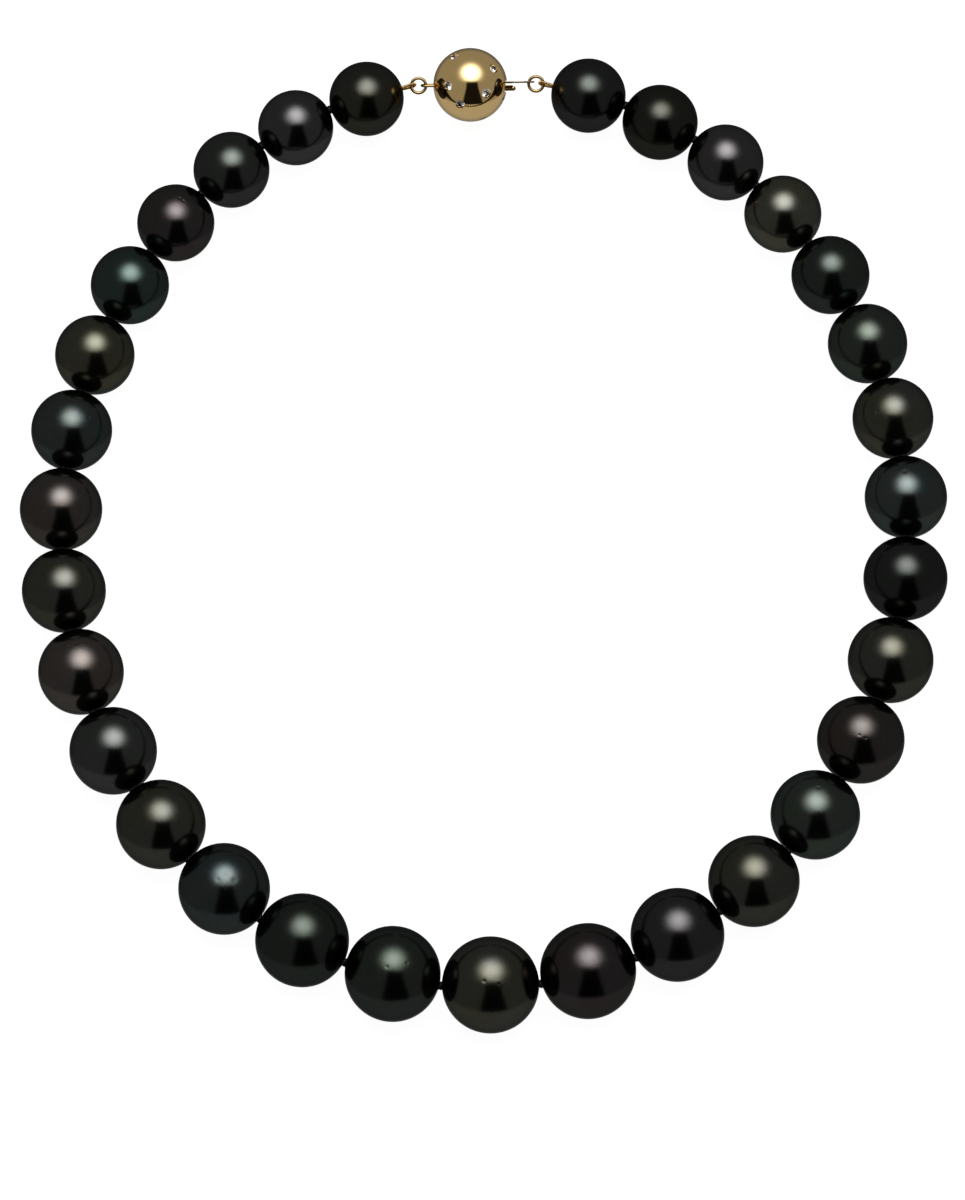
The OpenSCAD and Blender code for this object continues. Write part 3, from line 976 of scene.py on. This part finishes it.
CAMERA_ROLL = math.radians(0.84)
CAMERA_REACH = 2.6
VIEW_HEIGHT = 0.1928
AIM = (-0.38 * MM, -10.86 * MM, 7.0 * MM)
FLOOR_HALF, FLOOR_DEPTH = 12, 0.01
FLOOR_GLOW = 0.965      # a white sweep lit on its own, as in pictures for a catalogue


def make_camera():
    """A camera far away with a long lens, so that the picture has hardly any perspective."""
    data = bpy.data.cameras.new("camera")
    camera = bpy.data.objects.new("camera", data)
    bpy.context.scene.collection.objects.link(camera)
    data.sensor_width = 36.0
    data.lens = data.sensor_width * CAMERA_REACH / VIEW_HEIGHT
    data.clip_start, data.clip_end = 0.01, 50.0
    turn = Matrix.Rotation(VIEW_TILT, 4, "X") @ Matrix.Rotation(-CAMERA_ROLL, 4, "Z")
    away = Matrix.Translation((0, 0, CAMERA_REACH))
    camera.matrix_world = Matrix.Translation(AIM) @ turn @ away
    bpy.context.scene.camera = camera


def make_floor():
    """A large plain white floor, evenly lit."""
    half, depth = FLOOR_HALF, FLOOR_DEPTH
    verts, faces = extruded([(-half, -half), (half, -half), (half, half), (-half, half)], depth)
    mesh = bpy.data.meshes.new("floor")
    mesh.from_pydata([(x, y, z - depth) for x, y, z in verts], [], faces)
    floor = bpy.data.objects.new("floor", mesh)
    bpy.context.scene.collection.objects.link(floor)
    material, n, shader = new_material("white_floor")
    cloud = n.noise(n.place(scale=0.01), 1.0, 2.0)
    n.link(n.mix(cloud, grey(0.12), grey(0.13)), shader.inputs["Base Color"])
    shader.inputs["Roughness"].default_value = 1.0
    shader.inputs["Specular IOR Level"].default_value = 0.0
    shader.inputs["Emission Color"].default_value = grey(1.0)
    shader.inputs["Emission Strength"].default_value = FLOOR_GLOW
    mesh.materials.append(material)
    floor.visible_glossy = False
    floor.visible_transmission = False
    floor.visible_diffuse = False


# Brightness of the studio's parts
ROOM, UNDERSIDE, TABLE, SOFTBOX, STAND_DARKNESS = 0.29, 0.15, 0.43, 5.3, 0.94
# Where they are. Rise is the angle from the view's line towards the top of the picture, aside is
# the angle to its right, both in degrees, and level is the height of a direction of length 1
UNDERSIDE_LEVELS = (-0.95, -0.55)
SOFTBOX_RISE, SOFTBOX_ASIDE, SOFTBOX_SPREAD = 37.5, 2.4, 17.3
SOFTBOX_FALL = 1.2                      # how flat its middle is and how fast its edge falls off
SOFTBOX_LOW_EDGE = (3, 14)
STAND_ASIDE = 6.0
STAND_RISES, STAND_WIDTHS = (-58, 8), (26, 17)      # its half width narrows as it rises
STAND_SIDE_EDGE, STAND_TOP_EDGE = (-3, 4), (2, 13)
STAND_LEVELS = (0.05, 0.15)
TABLE_DIRECTION = (0.818, 0.575)        # across the table's edge, in Y and Z
TABLE_EDGE = (-0.53, -0.50)


def studio_light(n, direction):
    """How bright the studio is in a direction, which is given in the camera's frame."""
    split = n.add("ShaderNodeSeparateXYZ")
    n.link(direction, split.inputs[0])
    x, y, z = split.outputs
    rise = n.math("MULTIPLY", n.math("ARCTAN2", y, z), 180 / math.pi)
    aside = n.math("MULTIPLY", n.math("ARCSINE", x), 180 / math.pi)

    # The room, and the pale table on the near side
    light = n.ramp(z, *UNDERSIDE_LEVELS, UNDERSIDE, ROOM)
    near = n.math("ADD", n.math("MULTIPLY", y, TABLE_DIRECTION[0]),
                  n.math("MULTIPLY", z, TABLE_DIRECTION[1]))
    table = n.ramp(near, *TABLE_EDGE, 1.0, 0.0)
    light = n.math("ADD", light, n.math("MULTIPLY", table, TABLE - ROOM))

    # The dark camera stand, from the table's edge up to the softbox
    width = n.ramp(rise, *STAND_RISES, *STAND_WIDTHS)
    off = n.math("ABSOLUTE", n.math("SUBTRACT", aside, STAND_ASIDE))
    stand = n.ramp(n.math("SUBTRACT", off, width), *STAND_SIDE_EDGE, 1.0, 0.0)
    stand = n.math("MULTIPLY", stand, n.ramp(rise, *STAND_TOP_EDGE, 1.0, 0.0))
    stand = n.math("MULTIPLY", stand, n.ramp(z, *STAND_LEVELS))
    stand = n.math("MULTIPLY", stand, n.math("SUBTRACT", 1.0, table))
    light = n.math("MULTIPLY", light,
                   n.math("SUBTRACT", 1.0, n.math("MULTIPLY", stand, STAND_DARKNESS)))

    # The round softbox
    up = n.math("DIVIDE", n.math("SUBTRACT", rise, SOFTBOX_RISE), SOFTBOX_SPREAD)
    side = n.math("DIVIDE", n.math("SUBTRACT", aside, SOFTBOX_ASIDE), SOFTBOX_SPREAD)
    far = n.math("ADD", n.math("MULTIPLY", up, up), n.math("MULTIPLY", side, side))
    glow = n.math("EXPONENT", n.math("MULTIPLY", n.math("POWER", far, SOFTBOX_FALL), -0.5))
    glow = n.math("MULTIPLY", glow, n.ramp(rise, *SOFTBOX_LOW_EDGE))
    return n.math("ADD", light, n.math("MULTIPLY", glow, SOFTBOX))


def make_light():
    """A soft studio that turns with the view's tilt. The camera itself sees plain white."""
    world = bpy.data.worlds.new("studio")
    bpy.context.scene.world = world
    world.use_nodes = True
    n = Nodes(world.node_tree)
    coordinates = n.add("ShaderNodeTexCoord")
    tilted = n.add("ShaderNodeVectorRotate", rotation_type="X_AXIS")
    n.link(coordinates.outputs["Generated"], tilted.inputs["Vector"])
    tilted.inputs["Angle"].default_value = -VIEW_TILT
    studio = n.add("ShaderNodeBackground")
    studio.inputs["Color"].default_value = (1.0, 0.99, 0.975, 1)
    n.link(studio_light(n, tilted.outputs[0]), studio.inputs["Strength"])
    white = n.add("ShaderNodeBackground")
    white.inputs["Color"].default_value = grey(1.0)
    path = n.add("ShaderNodeLightPath")
    mixed = n.add("ShaderNodeMixShader")
    n.link(path.outputs["Is Camera Ray"], mixed.inputs[0])
    n.link(studio.outputs[0], mixed.inputs[1])
    n.link(white.outputs[0], mixed.inputs[2])
    out = n.add("ShaderNodeOutputWorld")
    n.link(mixed.outputs[0], out.inputs["Surface"])


# Tone curve of the picture: deep shadows a little deeper, as studio jewellery pictures have them
TONE_CURVE = ((0.0, 0.0), (0.012, 0.0055), (0.03, 0.017), (0.06, 0.044), (0.12, 0.107),
              (0.22, 0.215), (0.4, 0.4), (1.0, 1.0))


def set_view():
    settings = bpy.context.scene.view_settings
    settings.view_transform = "Standard"
    settings.look = "None"
    settings.exposure = 0.0
    settings.use_curve_mapping = True
    mapping = settings.curve_mapping
    curve = mapping.curves[3]       # the one for all channels together
    for x, y in TONE_CURVE[1:-1]:
        curve.points.new(x, y)
    for point in curve.points:
        point.handle_type = "VECTOR"
    mapping.update()


# ---------------------------------------------------------------- build

def build():
    polished = gold("polished_gold", (0.96, 0.69, 0.335), 0.9, 0.075, 0.03)
    # painted shade: the wire's gold colour and rim tint are set far darker than the ball's,
    # standing in for the dark surroundings its thin wires reflect
    shaded_wire_gold = gold("wire_gold_painted_shade", (0.40, 0.28, 0.125), 0.3, 0.17, 0.05)
    satin = gold("satin_gold", (0.88, 0.62, 0.28), 0.45, 0.18, 0.06)
    black_silk = silk()
    glass = diamond_glass()
    for i in range(1, PEARLS + 1):
        make_pearl(i)
    make_silk(black_silk)
    make_end_loops(satin, black_silk)
    for side in ("left", "right"):
        make_jump_ring(side, shaded_wire_gold)
    at = clasp_place()
    make_ball(at, polished)
    make_eye(at, shaded_wire_gold)
    make_diamonds(at, glass)
    make_tongue(at, shaded_wire_gold)
    make_spring(at, satin)
    make_thumb_bar(at, shaded_wire_gold)
    finish_catch_box(satin)


build()
make_camera()
make_floor()
make_light()
set_view()
